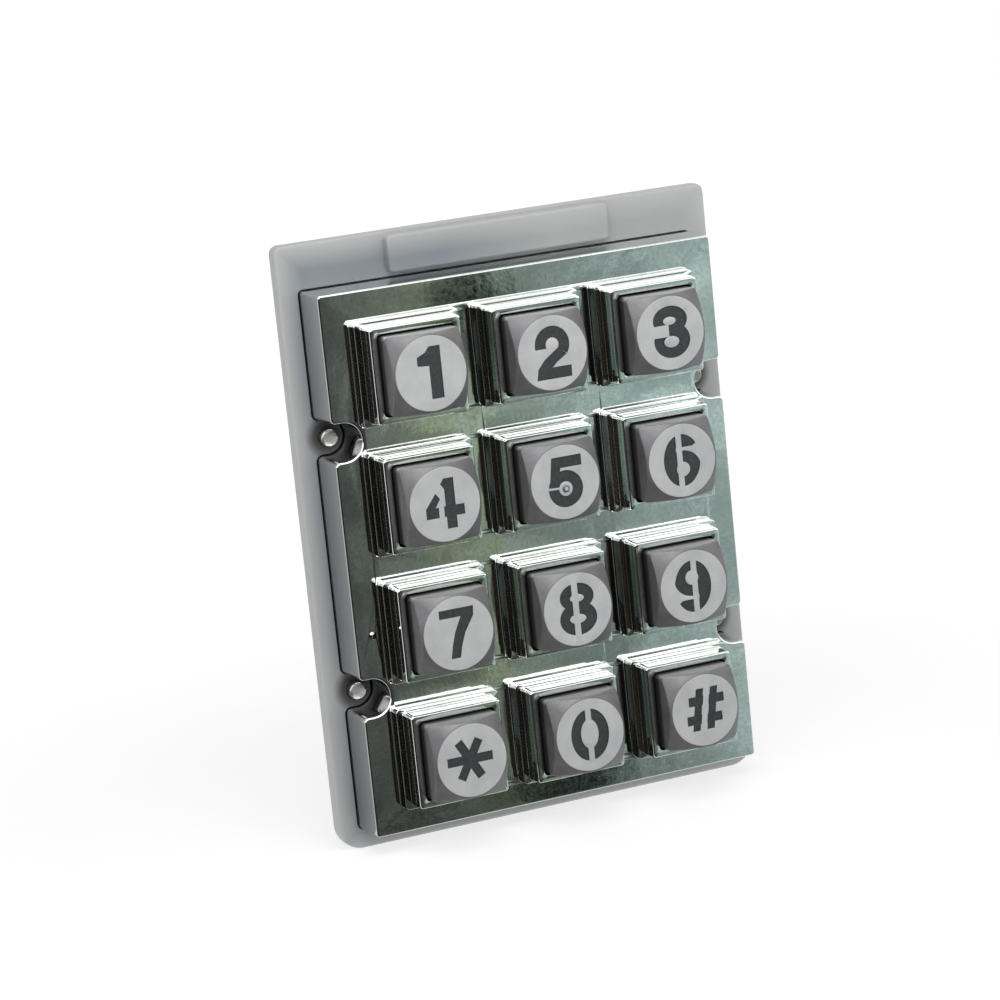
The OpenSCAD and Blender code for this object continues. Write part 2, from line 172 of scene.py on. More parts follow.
def cavity_outline(inset):
    """Inside of the frame's walls, bulging round the notches."""
    half_w, half_h = FRAME_HALF_W - WALL - inset, FRAME_HALF_H - WALL - inset
    bulge = NOTCH_R + 1.3 + inset
    swing = math.degrees(math.acos((half_w - STUD_X) / bulge))
    half = [(half_w, FRAME_UP - half_h)]
    for notch_z in (-STUD_Z, STUD_Z):
        half += arc(STUD_X, notch_z, bulge, 360 - swing, swing, 14)
    half += [(half_w, FRAME_UP + half_h)]
    return half + [(-x, z) for x, z in reversed(half)]


def grown(loop, distance):
    """Outline moved outwards by distance along its mitres."""
    p = np.array(loop)
    area = np.sum(p[:, 0] * np.roll(p[:, 1], -1) - np.roll(p[:, 0], -1) * p[:, 1])
    step = np.roll(p, -1, 0) - p
    step /= np.linalg.norm(step, axis=1)[:, None]
    out = np.stack([step[:, 1], -step[:, 0]], 1) * (1 if area > 0 else -1)
    before = np.roll(out, 1, 0)
    mitre = (out + before) / np.maximum(1 + np.sum(out * before, 1), 0.4)[:, None]
    return [tuple(q) for q in p + mitre * distance]


def width(loop):
    """Extent of an outline from left to right."""
    return max(p[0] for p in loop) - min(p[0] for p in loop)


def inside(points, loop):
    """For each point, whether it is inside the closed outline."""
    a = np.array(loop)
    b = np.roll(a, -1, 0)
    px, pz = points[:, 0][:, None], points[:, 1][:, None]
    spans = (a[:, 1] > pz) != (b[:, 1] > pz)
    rise = np.where(a[:, 1] == b[:, 1], 1e-12, b[:, 1] - a[:, 1])
    crosses = px < (b[:, 0] - a[:, 0]) * (pz - a[:, 1]) / rise + a[:, 0]
    return np.sum(spans & crosses, 1) % 2 == 1


# ---------------------------------------------------------------- shells

class Shell:
    """A closed surface put together from rings of points."""

    def __init__(self):
        self.points = []
        self.faces = []

    def ring(self, loop, y):
        """Adds an outline at depth y, one depth or one for each point, and returns its point numbers."""
        depths = y if hasattr(y, "__len__") else [y] * len(loop)
        start = len(self.points)
        self.points += [(x, d, z) for (x, z), d in zip(loop, depths)]
        return list(range(start, len(self.points)))

    def loft(self, rings):
        """Joins rings of equal length with quads."""
        for low, high in zip(rings, rings[1:]):
            count = len(low)
            for i in range(count):
                j = (i + 1) % count
                self.faces.append((low[i], low[j], high[j], high[i]))

    def fill(self, *rings):
        """Closes the flat region between an outer ring and the rings inside it."""
        numbers = [n for ring in rings for n in ring]
        flat = [Vector((self.points[n][0], self.points[n][2])) for n in numbers]
        edges, start = [], 0
        for ring in rings:
            count = len(ring)
            edges += [(start + i, start + (i + 1) % count) for i in range(count)]
            start += count
        spots, _, triangles, origin, _, _ = delaunay_2d_cdt(flat, edges, [], 0, 1e-7)
        centres = np.array([sum((spots[i] for i in t), Vector((0, 0))) / len(t) for t in triangles])
        depth = self.points[numbers[0]][1]
        corner = []
        for spot, sources in zip(spots, origin):
            if not sources:
                self.points.append((spot[0], depth, spot[1]))
            corner.append(numbers[sources[0]] if sources else len(self.points) - 1)
        odd = np.zeros(len(triangles), int)
        for ring in rings:
            odd += inside(centres, [(self.points[n][0], self.points[n][2]) for n in ring])
        for t, hits in zip(triangles, odd):
            if hits % 2:
                self.faces.append(tuple(corner[i] for i in t))

    def cone(self, ring, tip):
        """Closes a ring to one point."""
        self.points.append(tip)
        last = len(self.points) - 1
        self.faces += [(ring[i], ring[(i + 1) % len(ring)], last) for i in range(len(ring))]


def make_object(name, shell, body, replaces, slot, sharp=32.0):
    """Turns a shell into a smooth-shaded object in its slot's material that rides on a CAD body."""
    mesh = bpy.data.meshes.new(name)
    mesh.from_pydata([(x * MM, y * MM, z * MM) for x, y, z in shell.points], [], shell.faces)
    bm = bmesh.new()
    bm.from_mesh(mesh)
    bmesh.ops.remove_doubles(bm, verts=bm.verts, dist=1e-7)
    bmesh.ops.recalc_face_normals(bm, faces=bm.faces)
    for face in bm.faces:
        face.smooth = True
    bm.to_mesh(mesh)
    bm.free()
    mesh.set_sharp_from_angle(angle=math.radians(sharp))
    piece = bpy.data.objects.new(name, mesh)
    bpy.context.scene.collection.objects.link(piece)
    weighted = piece.modifiers.new("Flat faces stay flat", "WEIGHTED_NORMAL")
    weighted.keep_sharp = True
    weighted.weight = 100
    mesh.materials.append(MATERIALS[slot])
    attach(piece, body)
    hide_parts(*replaces)
    return piece


def quarter(steps):
    """Angles of a quarter turn, as (sine, cosine) pairs."""
    return [(math.sin(math.pi / 2 * i / steps), math.cos(math.pi / 2 * i / steps)) for i in range(steps + 1)]


# ---------------------------------------------------------------- shader nodes

class Nodes:
    """Short names for the shader nodes that the finishes and the studio are built from."""

    def __init__(self, tree, place):
        self.tree = tree
        self.place = place

    def put(self, value, socket):
        """Sets a socket to a number or a colour, or links it to another node's output."""
        if isinstance(value, (int, float)):
            socket.default_value = value
        elif isinstance(value, tuple):
            socket.default_value = (*value, 1)
        else:
            self.tree.links.new(value, socket)

    def axes(self, vector):
        """A vector's outputs X, Y and Z."""
        node = self.tree.nodes.new("ShaderNodeSeparateXYZ")
        self.put(vector, node.inputs[0])
        return node.outputs

    def noise(self, scale, detail=4.0, rough=0.55, stretch=(1, 1, 1)):
        """Noise over the place these nodes work in; scale is in features per unit of it."""
        mapping = self.tree.nodes.new("ShaderNodeMapping")
        mapping.inputs["Scale"].default_value = stretch
        self.put(self.place, mapping.inputs["Vector"])
        node = self.tree.nodes.new("ShaderNodeTexNoise")
        for key, value in (("Scale", scale), ("Detail", detail), ("Roughness", rough)):
            node.inputs[key].default_value = value
        self.put(mapping.outputs["Vector"], node.inputs["Vector"])
        return node.outputs["Fac"]

    def ramp(self, source, stops):
        """Colour against a source from 0 to 1; a stop with one number is grey."""
        node = self.tree.nodes.new("ShaderNodeValToRGB")
        elements = node.color_ramp.elements
        while len(elements) < len(stops):
            elements.new(0.5)
        for element, (spot, colour) in zip(elements, stops):
            element.position = spot
            element.color = (*(colour if isinstance(colour, tuple) else (colour,) * 3), 1)
        self.put(source, node.inputs["Fac"])
        return node.outputs["Color"]

    def map(self, source, low, high, to_low, to_high):
        """Carries low to high over to to_low to to_high, and holds the end values beyond."""
        node = self.tree.nodes.new("ShaderNodeMapRange")
        for key, value in (("From Min", low), ("From Max", high), ("To Min", to_low), ("To Max", to_high)):
            node.inputs[key].default_value = value
        self.put(source, node.inputs["Value"])
        return node.outputs["Result"]

    def maths(self, operation, a, b):
        node = self.tree.nodes.new("ShaderNodeMath")
        node.operation = operation
        self.put(a, node.inputs[0])
        self.put(b, node.inputs[1])
        return node.outputs["Value"]

    def size(self, value):
        """Value without its sign."""
        return self.maths("ABSOLUTE", value, 0)

    def mix(self, factor, a, b, blend="MIX"):
        node = self.tree.nodes.new("ShaderNodeMix")
        node.data_type = "RGBA"
        node.blend_type = blend
        for key, value in ((0, factor), (6, a), (7, b)):
            self.put(value, node.inputs[key])
        return node.outputs[2]


# ---------------------------------------------------------------- materials

class Finish(Nodes):
    """The nodes of one material, over the object's own space in metres."""

    def __init__(self, name):
        self.material = bpy.data.materials.new(name)
        self.material.use_nodes = True
        tree = self.material.node_tree
        self.shader = tree.nodes["Principled BSDF"]
        spot = tree.nodes.new("ShaderNodeTexCoord")
        self.normal = spot.outputs["Normal"]
        super().__init__(tree, spot.outputs["Object"])

    def edges(self, low=0.5, high=0.62):
        """1 along outward edges, 0 elsewhere."""
        node = self.tree.nodes.new("ShaderNodeNewGeometry")
        return self.map(node.outputs["Pointiness"], low, high, 0, 1)

    def bump(self, height, distance, strength=1.0, before=None):
        """Relief laid over the relief that came before; distance is its depth."""
        node = self.tree.nodes.new("ShaderNodeBump")
        node.inputs["Distance"].default_value = distance
        self.put(strength, node.inputs["Strength"])
        self.put(height, node.inputs["Height"])
        if before is not None:
            self.put(before, node.inputs["Normal"])
        self.put(node.outputs["Normal"], self.shader.inputs["Normal"])
        return node.outputs["Normal"]

    def give(self, colour, roughness):
        """Links both to the shader and returns the material."""
        self.put(colour, self.shader.inputs["Base Color"])
        self.put(roughness, self.shader.inputs["Roughness"])
        return self.material


def chrome():
    """Bright chrome over a zinc casting: slight waviness, orange peel, and a film of dust.

    The collars' side walls carry painted bands of light and dark, and the frame's outer walls carry painted
    shade in a darker grey.
    """
    n = Finish("chrome_plate")
    n.shader.inputs["Metallic"].default_value = 1.0
    dusty, painted_wall_shade = (0.60, 0.63, 0.60), (0.46, 0.47, 0.48)
    wave_h, peel_h, pit_h = 0.00003, 0.0000025, 0.000006
    cloud = n.noise(70, 4, 0.6)
    film = n.noise(1400, 5, 0.7)
    tint = n.ramp(cloud, [(0.35, (0.80, 0.83, 0.81)), (0.5, (0.90, 0.925, 0.91)), (0.65, (0.96, 0.97, 0.96))])
    colour = n.mix(n.map(film, 0.48, 0.7, 0, 0.55), tint, dusty)
    roughness = n.maths("ADD", n.map(film, 0.35, 0.75, 0.03, 0.08), n.map(cloud, 0.35, 0.7, 0.0, 0.02))
    facing = n.axes(n.normal)
    flat = n.map(n.size(facing["Y"]), 0.3, 0.9, 0.12, 1)
    wave = n.bump(n.noise(95, 2, 0.45), wave_h, flat)
    peel = n.bump(n.noise(900, 2, 0.5), peel_h, flat, wave)
    n.bump(n.noise(330, 3, 0.5), pit_h, flat, peel)
    depth = n.axes(n.place)["Y"]
    rise = n.map(depth, COLLAR_FACE * MM, FRAME_FACE * MM, 0, 1)
    bands = n.ramp(rise, [(0.03, (1.0, 1.0, 0.95)), (0.10, (0.75, 0.78, 0.72)), (0.20, (0.22, 0.24, 0.22)),
                          (0.34, (0.55, 0.62, 0.58)), (0.48, (0.15, 0.16, 0.15)), (0.60, (0.34, 0.27, 0.21)),
                          (0.68, (0.03, 0.03, 0.03)), (0.84, (0.30, 0.36, 0.34)), (0.97, (0.08, 0.08, 0.08))])
    raised = n.map(depth, (FRAME_FACE - 0.05) * MM, (FRAME_FACE - 0.2) * MM, 0, 1)
    sideways = n.size(facing["X"])
    side = n.maths("MULTIPLY", n.map(sideways, 0.5, 0.9, 0, 1), raised)
    patchy = n.map(n.noise(55, 2, 0.5, (1, 1, 0.6)), 0.35, 0.65, 0.95, 0.45)
    colour = n.mix(n.maths("MULTIPLY", side, patchy), colour, bands)
    # Painted shade: the frame's outer walls, facing sideways behind the face, are mixed towards a darker
    # grey.
    outer_wall_shade_mask = n.maths("MULTIPLY", n.map(sideways, 0.5, 0.9, 0, 0.8), n.maths("SUBTRACT", 1.0, raised))
    return n.give(n.mix(outer_wall_shade_mask, colour, painted_wall_shade), roughness)


def satin_metal():
    """Satin plated caps: discs light, corners and sides dark, a painted highlight on the upper bevels,
    painted shade near black on the foot.
    """
    n = Finish("satin_metal")
    bevel_highlight_grey, painted_gap_shade = (0.5, 0.5, 0.505), (0.006, 0.006, 0.006)
    gap_shade_starts, gap_shade_full = -0.0173, -0.0165
    grain = n.noise(4200, 3, 0.7)
    cloud = n.noise(260, 4, 0.6)
    facing = n.axes(n.normal)
    disc = n.map(n.size(facing["Y"]), 0.93, 0.985, 0, 1)
    light = n.ramp(cloud, [(0.35, (0.47, 0.47, 0.478)), (0.65, (0.54, 0.54, 0.543))])
    dark = n.ramp(cloud, [(0.35, (0.122, 0.122, 0.127)), (0.65, (0.165, 0.163, 0.168))])
    # Painted highlight: faces of the cap that look upwards, other than the disc, are mixed towards a light
    # grey.
    painted_bevel_highlight = n.maths("MULTIPLY", n.map(facing["Z"], 0.45, 0.9, 0, 0.5), n.maths("SUBTRACT", 1.0, disc))
    colour = n.mix(painted_bevel_highlight, n.mix(disc, dark, light), bevel_highlight_grey)
    # Painted shade: the back of each cap, down in the gap behind the collar's rim, goes near black.
    foot = n.map(n.axes(n.place)["Y"], gap_shade_starts, gap_shade_full, 0, 0.93)
    colour = n.mix(foot, colour, painted_gap_shade)
    speck = n.mix(disc, (0.08, 0.08, 0.084), (0.32, 0.32, 0.325))
    colour = n.mix(n.map(grain, 0.4, 0.75, 0.0, 0.3), colour, speck)
    n.put(n.map(disc, 0, 1, 0.4, 0.3), n.shader.inputs["Metallic"])
    roughness = n.maths("ADD", n.map(grain, 0.3, 0.75, 0.36, 0.5), n.map(cloud, 0.3, 0.7, -0.02, 0.05))
    n.bump(grain, FINE_RELIEF)
    return n.give(colour, roughness)


def legend_plastic():
    """Smoked plastic, nearly black."""
    n = Finish("legend_plastic")
    grain = n.noise(3500, 3, 0.6)
    colour = n.ramp(grain, [(0.3, (0.016, 0.016, 0.018)), (0.75, (0.045, 0.045, 0.048))])
    n.bump(grain, FINE_RELIEF)
    return n.give(colour, n.map(grain, 0.3, 0.7, 0.38, 0.55))


def milky_plastic():
    """Milky polycarbonate: a painted glow along its edges, bluish and darker inside them, and painted shade
    round the studs.
    """
    n = Finish("milky_plastic")
    edge_full, edge_ends = 0.0004, 0.0042
    stud_shade_full, stud_shade_ends = 0.0021, 0.0036
    front_full, front_ends = -0.0018, -0.0012
    cloud = n.noise(28, 3)
    dust = n.noise(2600, 4, 0.7)
    spot = n.axes(n.place)
    from_mid = n.size(spot["X"])
    across = n.maths("SUBTRACT", PLATE_HIGH.x * MM, from_mid)
    down = n.maths("SUBTRACT", PLATE_HIGH.z * MM, spot["Z"])
    up = n.maths("SUBTRACT", spot["Z"], PLATE_LOW.z * MM)
    margin = n.maths("MINIMUM", across, n.maths("MINIMUM", down, up))
    # Painted light: the plate is lighter within a few millimetres of its edges, as if it glowed there.
    painted_edge_glow = n.map(margin, edge_full, edge_ends, 1, 0)
    inner = n.ramp(n.map(spot["X"], -0.034, 0.02, 0, 1),
                   [(0.0, (0.16, 0.182, 0.21)), (0.45, (0.195, 0.215, 0.235)), (0.8, (0.33, 0.345, 0.34))])
    milk = n.mix(n.map(cloud, 0.35, 0.65, 0, 0.3), inner, (0.30, 0.31, 0.315))
    base = n.mix(n.maths("MULTIPLY", painted_edge_glow, 0.8), milk, (0.46, 0.465, 0.455))
    colour = n.mix(n.map(dust, 0.6, 0.8, 0, 0.3), base, (0.2, 0.2, 0.21))
    # Painted shade: dark brown round each stud, in the frame's notches, on the plate's front only.
    aside = n.maths("SUBTRACT", from_mid, STUD_X * MM)
    along = n.maths("SUBTRACT", n.size(spot["Z"]), STUD_Z * MM)
    squares = n.maths("ADD", n.maths("MULTIPLY", aside, aside), n.maths("MULTIPLY", along, along))
    near_stud = n.map(n.maths("POWER", squares, 0.5), stud_shade_full, stud_shade_ends, 0.9, 0)
    in_front = n.map(spot["Y"], front_full, front_ends, 1, 0)
    colour = n.mix(n.maths("MULTIPLY", near_stud, in_front), colour, (0.03, 0.023, 0.018))
    n.shader.inputs["Subsurface Weight"].default_value = 0.3
    n.shader.inputs["Subsurface Radius"].default_value = (1.0, 1.05, 1.15)
    n.shader.inputs["Subsurface Scale"].default_value = 0.0012
    n.shader.inputs["IOR"].default_value = 1.5
    n.bump(n.noise(160, 3, 0.5), 0.00004)
    return n.give(colour, n.maths("ADD", n.map(dust, 0.4, 0.8, 0.34, 0.5), n.map(cloud, 0.3, 0.7, 0.0, 0.08)))


def grained(name, dark, light, rough_low, rough_high, scale=2500, depth=FINE_RELIEF, metallic=0.0, wear=None):
    """General finish: speckled colour, uneven gloss, fine relief and, where wear is given, rubbed edges."""
    n = Finish(name)
    n.shader.inputs["Metallic"].default_value = metallic
    grain = n.noise(scale, 4, 0.65)
    cloud = n.noise(scale / 12, 3)
    colour = n.mix(n.map(cloud, 0.3, 0.7, 0, 0.5), n.ramp(grain, [(0.3, dark), (0.7, light)]), dark)
    if wear:
        colour = n.mix(n.maths("MULTIPLY", n.edges(), 0.6), colour, wear)
    n.bump(grain, depth)
    return n.give(colour, n.map(grain, 0.3, 0.7, rough_low, rough_high))


MATERIALS = {
    "chrome_plate": chrome(),
    "satin_metal": satin_metal(),
    "legend_plastic": legend_plastic(),
    "milky_plastic": milky_plastic(),
    "seal_rubber": grained("seal_rubber", (0.015, 0.015, 0.017), (0.035, 0.035, 0.037), 0.6, 0.8),
    "stud_steel": grained("stud_steel", (0.36, 0.355, 0.345), (0.52, 0.515, 0.50), 0.22, 0.42,
                          1800, 0.000008, 1.0, (0.75, 0.74, 0.72)),
    "silicone": grained("silicone", (0.62, 0.64, 0.65), (0.72, 0.74, 0.74), 0.4, 0.55, 900),
    "carbon_pill": grained("carbon_pill", (0.012, 0.012, 0.012), (0.03, 0.03, 0.03), 0.6, 0.8),
    "board_laminate": grained("board_laminate", (0.010, 0.10, 0.045), (0.018, 0.15, 0.07), 0.25, 0.4, 1500),
    "gold_plate": grained("gold_plate", (0.62, 0.44, 0.14), (0.80, 0.60, 0.26), 0.18, 0.34,
                          1800, 0.000005, 1.0, (0.95, 0.80, 0.45)),
    "led_resin": grained("led_resin", (0.72, 0.70, 0.60), (0.85, 0.83, 0.74), 0.15, 0.3, 1500),
    "resistor_ceramic": grained("resistor_ceramic", (0.015, 0.015, 0.018), (0.04, 0.04, 0.045), 0.3, 0.5),
    "diode_glass": grained("diode_glass", (0.42, 0.11, 0.03), (0.60, 0.20, 0.07), 0.08, 0.2, 1500),
    "black_moulding": grained("black_moulding", (0.012, 0.012, 0.013), (0.03, 0.03, 0.032), 0.42, 0.6,
                              3200, 0.000015, 0.0, (0.09, 0.09, 0.09)),
    "tinned_lead": grained("tinned_lead", (0.55, 0.56, 0.57), (0.70, 0.71, 0.72), 0.25, 0.4,
                           1800, 0.000005, 1.0),
    "capacitor_sleeve": grained("capacitor_sleeve", (0.02, 0.035, 0.07), (0.035, 0.055, 0.10), 0.2, 0.35,
                                1500),
    "screw_steel": grained("screw_steel", (0.45, 0.455, 0.46), (0.60, 0.605, 0.61), 0.2, 0.38,
                           2200, 0.000006, 1.0, (0.85, 0.85, 0.85)),
    "cover_plastic": grained("cover_plastic", (0.016, 0.017, 0.018), (0.04, 0.041, 0.044), 0.5, 0.7,
                             2400, 0.00004, 0.0, (0.10, 0.10, 0.10)),
}


# ---------------------------------------------------------------- bezel frame

def collar_profile():
    """Rings of one collar, from its foot to the back of the hole, as (half_w, half_h, corner_r, y)."""
    low_w, low_h, high_w, high_h = 8.6, 8.1, 7.5, 7.45
    low_r, high_r, hole_r = 0.8, 0.6, 0.6
    foot_r, edge_r, inner_r, rim_r, lip_r = 0.25, 0.14, 0.1, 0.26, 0.08
    draft_low, draft_high, high_foot = 0.06, 0.08, 0.08
    low_corner_grow = 1.6
    step, rim = FRAME_FACE - STEP_H, COLLAR_FACE
    rings = []

    def low_ring(out, y):
        rings.append((low_w + out, low_h + out, low_r + out * low_corner_grow, y))

    def high_ring(out, y):
        rings.append((high_w + out, high_h + out, high_r + out, y))

    def hole_ring(out, y):
        rings.append((HOLE_HALF + out, HOLE_HALF + out, hole_r + out, y))

    for s, c in quarter(4):
        low_ring(foot_r * (1 - s), FRAME_FACE - foot_r * (1 - c))
    for s, c in quarter(4):
        low_ring(-draft_low - edge_r * (1 - c), step + edge_r * (1 - s))
    for s, c in quarter(3):
        high_ring(high_foot + inner_r * (1 - s), step - inner_r * (1 - c))
    for s, c in quarter(4):
        high_ring(-draft_high - rim_r * (1 - c), rim + rim_r * (1 - s))
    for s, c in quarter(3):
        hole_ring(lip_r * (1 - s), rim + lip_r * (1 - c))
    hole_ring(0, FRAME_BACK)
    return rings


def frame_spots():
    """Centres of the bosses inside the frame: six between the keys, then four at the ends."""
    half = KEY_PITCH / 2
    spots = [(x, z) for x in (-half, half) for z in (-KEY_PITCH, 0, KEY_PITCH)]
    return spots + [(x, z) for x in (-half, half) for z in (-BOSS_Z, BOSS_Z)]


def build_bezel():
    """Frame with its twelve collars, one small raised spot on its face, and screw bosses inside."""
    shell = Shell()
    edge_r, lean = 0.27, 0.08
    foot_edge, foot_inset, boss_sink = 0.15, 0.05, 0.4
    walls = [(lean + edge_r * (1 - s), FRAME_FACE + edge_r * (1 - c)) for s, c in quarter(5)]
    walls += [(-lean, FRAME_FOOT - foot_edge), (foot_inset, FRAME_FOOT)]
    outer = [shell.ring(frame_outline(inset), y) for inset, y in walls]
    shell.loft(outer)
    front_holes, back_holes = [], []
    for name in KEYS:
        cx, cz = key_centre(name)
        rings = [shell.ring(rounded_rect(cx, cz, w, h, r), y) for w, h, r, y in collar_profile()]
        shell.loft(rings)
        front_holes.append(rings[0])
        back_holes.append(rings[-1])
    bump_x, bump_z, bump_r, bump_h, bump_steps = -30.2, -10.3, 0.7, 0.1, 6
    bump = []
    for k in range(bump_steps, 0, -1):
        rise = bump_h * (1 - (k / bump_steps) ** 2) ** 2
        bump.append(shell.ring(circle(bump_x, bump_z, bump_r * k / bump_steps, 24), FRAME_FACE - rise))
    shell.loft(bump)
    shell.cone(bump[-1], (bump_x, FRAME_FACE - bump_h, bump_z))
    shell.fill(outer[0], *front_holes, bump[0])
    mouth = shell.ring(cavity_outline(0), FRAME_FOOT)
    ceiling = shell.ring(cavity_outline(0), FRAME_BACK)
    shell.fill(outer[-1], mouth)
    shell.loft([mouth, ceiling])
    for x, z in frame_spots():
        boss = [shell.ring(circle(x, z, BOSS_R), y) for y in (FRAME_BACK - boss_sink, PLATE_FACE)]
        bore = [shell.ring(circle(x, z, BORE_R), y) for y in (PLATE_FACE, PLATE_FACE - BORE_DEPTH)]
        shell.fill(boss[0])
        shell.loft(boss)
        shell.fill(boss[1], bore[0])
        shell.loft(bore)
        shell.fill(bore[1])
    shell.fill(ceiling, *back_holes)
    make_object("bezel", shell, "housing", ["bezel_frame"], "chrome_plate")


# ---------------------------------------------------------------- keys

def face_loops(name):
    """Closed outlines on the flat face of a CAD cap, widest first: the disc's rim, then the openings."""
    mesh = frame["nodes"][f"key_{name}_cap"].data
    on_face = 0.002
    place = {}
    numbers = []
    for vertex in mesh.vertices:
        spot = tuple(round(value / MM, 3) for value in vertex.co)
        numbers.append(place.setdefault(spot, len(place)))
    spots = list(place)
    used = {}
    for polygon in mesh.polygons:
        corners = [numbers[v] for v in polygon.vertices]
        if all(abs(spots[c][1] - KEY_FACE) < on_face for c in corners):
            for a, b in zip(corners, corners[1:] + corners[:1]):
                if (b, a) in used:
                    del used[(b, a)]
                else:
                    used[(a, b)] = True
    after = {a: b for a, b in used}
    loops = []
    while after:
        start, spot = after.popitem()
        loop = [start]
        while spot != start:
            loop.append(spot)
            spot = after.pop(spot)
        loops.append([(spots[i][0], spots[i][2]) for i in loop])
    return sorted(loops, key=width, reverse=True)


def cone_depth(r):
    """Depth of the cap's surface below its face at radius r: flat, a short blend, then the corner cone."""
    if r < DISC_R - DISC_BLEND:
        return 0.0
    if r < DISC_R + DISC_BLEND:
        return CORNER_SLOPE * (r - DISC_R + DISC_BLEND) ** 2 / (4 * DISC_BLEND)
    return (r - DISC_R) * CORNER_SLOPE


def build_cap(name):
    """Cap with its disc, corner cones, flange and hollow. Returns the outlines of its stencil's openings."""
    cx, cz = key_centre(name)
    shell = Shell()
    loops = face_loops(name)
    edge_r, corner_r, hole_edge_r, side_depth = 0.13, 0.6, 0.05, 3.2
    flange_half, flange_r, flange_steps = 7.5, 8.45, 96
    dot_r, dot_h, dot_width = 0.6, 0.33, 1.4
    holes = [loop for loop in loops[1:] if width(loop) > dot_width]
    dots = [loop for loop in loops[1:] if loop not in holes]

    def square(inset):
        return rounded_rect(0, 0, KEY_HALF - inset, KEY_HALF - inset, corner_r - inset, 8, 20)

    def placed(loop, depths):
        return shell.ring([(x + cx, z + cz) for x, z in loop], [KEY_FACE + d for d in depths])

    def level(loop, depth):
        return placed(loop, [depth] * len(loop))

    rim = square(edge_r)
    inner_r = DISC_R - DISC_BLEND
    shares = [0, .02, .04, .07, .1, .13, .17, .25, .4, .6, .8, 1]
    rings = []
    for share in shares:
        loop = []
        for x, z in rim:
            r = math.hypot(x, z)
            grow = (inner_r + (r - inner_r) * share) / r
            loop.append((x * grow, z * grow))
        rings.append(placed(loop, [cone_depth(math.hypot(*p)) for p in loop]))
    outer = square(0)
    for s, c in quarter(4)[1:]:
        loop = [(p[0] + (q[0] - p[0]) * s, p[1] + (q[1] - p[1]) * s) for p, q in zip(rim, outer)]
        rings.append(placed(loop, [cone_depth(math.hypot(*p)) + edge_r * (1 - c) for p in loop]))
    rings.append(level(outer, side_depth))
    flange_depth = FLANGE_BACK - FLANGE_T - KEY_FACE
    rings.append(level(outer, flange_depth))
    shell.loft(rings)
    turns = [math.radians(360 / flange_steps * i) for i in range(flange_steps)]
    reach = [min(flange_r, flange_half / max(abs(math.cos(a)), abs(math.sin(a)))) for a in turns]
    skirt = [(r * math.cos(a), r * math.sin(a)) for r, a in zip(reach, turns)]
    flange = [level(skirt, depth) for depth in (flange_depth, flange_depth + FLANGE_T)]
    shell.fill(flange[0], rings[-1])
    shell.loft(flange)
    hollow_half = KEY_HALF - CAP_WALL
    hollow = rounded_rect(0, 0, hollow_half, hollow_half, corner_r)
    well = [level(hollow, depth) for depth in (flange_depth + FLANGE_T, CAP_TOP)]
    shell.fill(flange[1], well[0])
    shell.loft(well)
    front_holes, back_holes = [], []
    for loop in holes:
        walls = [shell.ring(grown(loop, hole_edge_r * (1 - s)), KEY_FACE + hole_edge_r * (1 - c))
                 for s, c in quarter(2)]
        walls.append(shell.ring(loop, KEY_FACE + CAP_TOP))
        shell.loft(walls)
        front_holes.append(walls[0])
        back_holes.append(walls[-1])
    for loop in dots:
        x0, z0 = (sum(p[i] for p in loop) / len(loop) for i in (0, 1))
        dome = [shell.ring(circle(x0, z0, dot_r * (0.1 + 0.9 * c), 24), KEY_FACE - dot_h * s)
                for s, c in quarter(6)]
        shell.loft(dome)
        shell.cone(dome[-1], (x0, KEY_FACE - dot_h, z0))
        front_holes.append(dome[0])
    shell.fill(rings[0], *front_holes)
    shell.fill(well[1], *back_holes)
    make_object(f"cap_{name}", shell, f"key_{name}", [f"key_{name}_cap"], "satin_metal", 24)
    return holes


def build_legend(name, holes):
    """Smoked light pipe: a block in the cap with the numeral standing up into the stencil."""
    cx, cz = key_centre(name)
    shell = Shell()
    gap, corner_r, rear_step = 0.05, 0.55, 0.1
    half = KEY_HALF - CAP_WALL - gap
    block = rounded_rect(cx, cz, half, half, corner_r)
    sides = [shell.ring(block, y) for y in (FLANGE_BACK - rear_step, KEY_FACE + CAP_TOP + gap)]
    shell.fill(sides[0])
    shell.loft(sides)
    feet = []
    for loop in holes:
        walls = [shell.ring(loop, KEY_FACE + depth) for depth in (CAP_TOP + gap, LEGEND_RECESS)]
        shell.loft(walls)
        shell.fill(walls[1])
        feet.append(walls[0])
    shell.fill(sides[1], *feet)
    make_object(f"legend_{name}", shell, f"key_{name}", [f"key_{name}_legend"], "legend_plastic")


# ---------------------------------------------------------------- base plate

